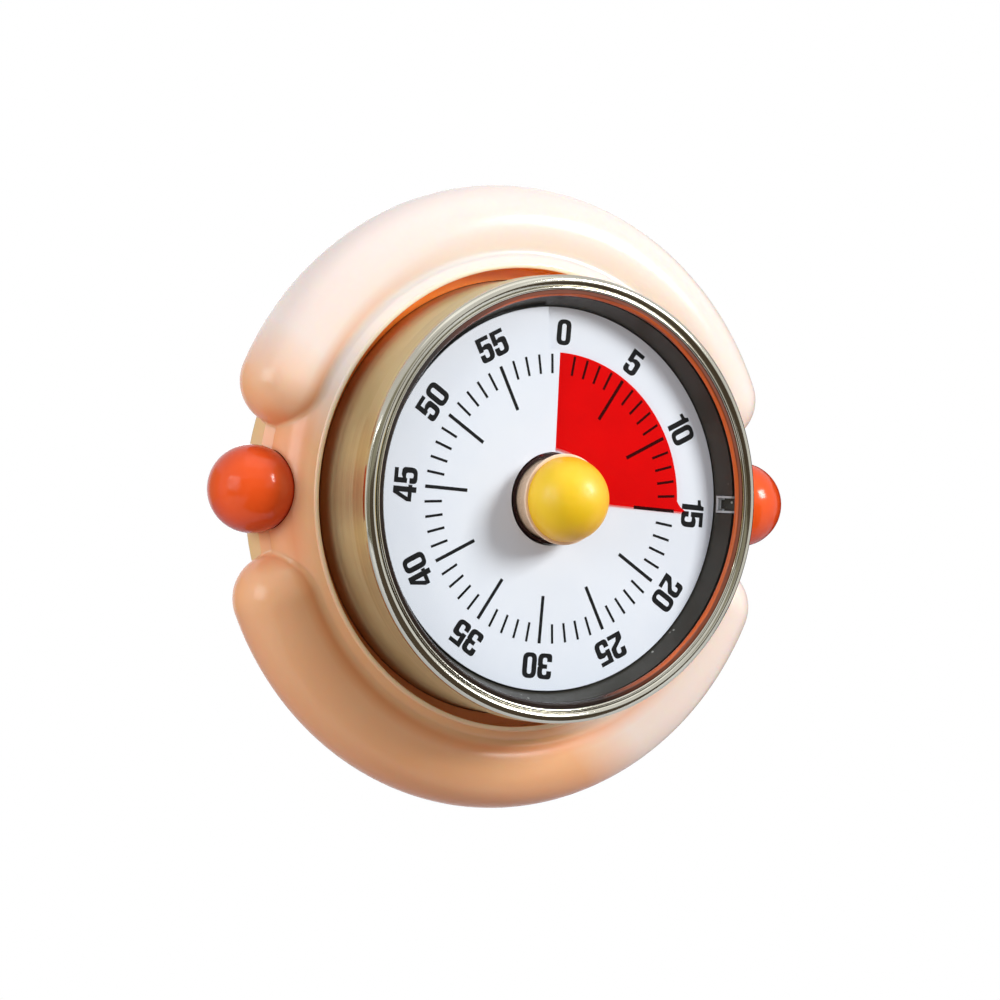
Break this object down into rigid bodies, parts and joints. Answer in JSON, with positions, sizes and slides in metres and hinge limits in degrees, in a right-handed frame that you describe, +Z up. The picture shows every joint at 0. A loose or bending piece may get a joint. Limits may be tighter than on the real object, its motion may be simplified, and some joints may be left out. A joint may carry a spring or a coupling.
{
  "type": "visual countdown timer",
  "caption": "Round wind-up visual timer: a steel-cased dial with a red disc that shrinks as time runs, set in a two-lobed ring with side balls.",
  "frame": {"origin": "middle of the flat back face, on the dial's axis", "axes": "+Z up, +X to the right as the dial is read, +Y from the dial into the back"},
  "size_m": [0.1148, 0.039, 0.1108],
  "materials": {
    "peach_plastic": "glossy moulded",
    "orange_plastic": "glossy",
    "cover_plastic": "satin moulded",
    "cup_steel": "fine circumferential brush",
    "bezel_chrome": "polished",
    "gasket_amber": "glossy",
    "clear_lens": "clear",
    "black_plastic": "satin",
    "dial_white": "smooth printed sheet",
    "film_red": "smooth film",
    "knob_yellow": "glossy",
    "stem_pale": "glossy",
    "brass": "machined",
    "steel": "machined",
    "zinc_steel": "zinc plated",
    "magnet": "plated magnet"
  },
  "bodies": {
    "case": {"ring_base": "peach_plastic", "upper_lobe": "peach_plastic", "lower_lobe": "peach_plastic", "side_balls": "orange_plastic", "rear_cover": "cover_plastic", "cover_screws": "zinc_steel", "magnets": "magnet", "cup": "cup_steel", "bezel": "bezel_chrome", "lens_gasket": "gasket_amber", "lens": "clear_lens", "wall_ring": "black_plastic", "dial": "dial_white", "dial_carrier": "black_plastic", "front_plate": "steel", "rear_plate": "steel", "pillars": "brass", "spring_barrel": "steel", "mainspring": "steel", "bell": "steel", "bell_nut": "brass"},
    "knob": {"knob": "knob_yellow", "knob_stem": "stem_pale", "main_arbor": "steel", "main_wheel": "brass"},
    "film": {"film_hub": "black_plastic", "red_film": "film_red"},
    "second_wheel": {"second_wheel": "brass"},
    "third_wheel": {"third_wheel": "brass"},
    "escape_wheel": {"escape_wheel": "brass"},
    "balance": {"balance": "brass"},
    "hammer": {"hammer": "steel"}
  },
  "joints": [
    {"name": "knob_turn", "type": "hinge", "parent": "case", "child": "knob", "pos_m": [0, 0, 0], "axis": [0, 1, 0], "range_deg": [-90, 270]},
    {"name": "film_slide", "type": "slide", "parent": "knob", "child": "film", "axis": [0, -1, 0], "range_m": [-0.00031, 0.00091]},
    {"name": "second_wheel_turn", "type": "hinge", "parent": "case", "child": "second_wheel", "pos_m": [-0.01212, 0, -0.007], "axis": [0, 1, 0], "range_deg": [-1621, 541]},
    {"name": "third_wheel_turn", "type": "hinge", "parent": "case", "child": "third_wheel", "pos_m": [-0.02115, 0, -0.00372], "axis": [0, 1, 0], "range_deg": [-2701, 8101]},
    {"name": "escape_wheel_turn", "type": "hinge", "parent": "case", "child": "escape_wheel", "pos_m": [-0.02115, 0, 0.00486], "axis": [0, 1, 0], "range_deg": [-48601, 16201]},
    {"name": "balance_swing", "type": "hinge", "parent": "case", "child": "balance", "pos_m": [-0.01565, 0, 0.01438], "axis": [0, 1, 0], "range_deg": [-30, 30]},
    {"name": "hammer_swing", "type": "hinge", "parent": "case", "child": "hammer", "pos_m": [0.01778, 0, -0.02539], "axis": [0, 1, 0], "range_deg": [0, 15], "stiffness_Nm_per_rad": 0.002, "springref_deg": -11.46}
  ],
  "couplings": [
    {"joint": "film_slide", "follows": "knob_turn", "m_per_rad": 0.00019099},
    {"joint": "second_wheel_turn", "follows": "knob_turn", "ratio": -6},
    {"joint": "third_wheel_turn", "follows": "knob_turn", "ratio": 30},
    {"joint": "escape_wheel_turn", "follows": "knob_turn", "ratio": -180}
  ]
}
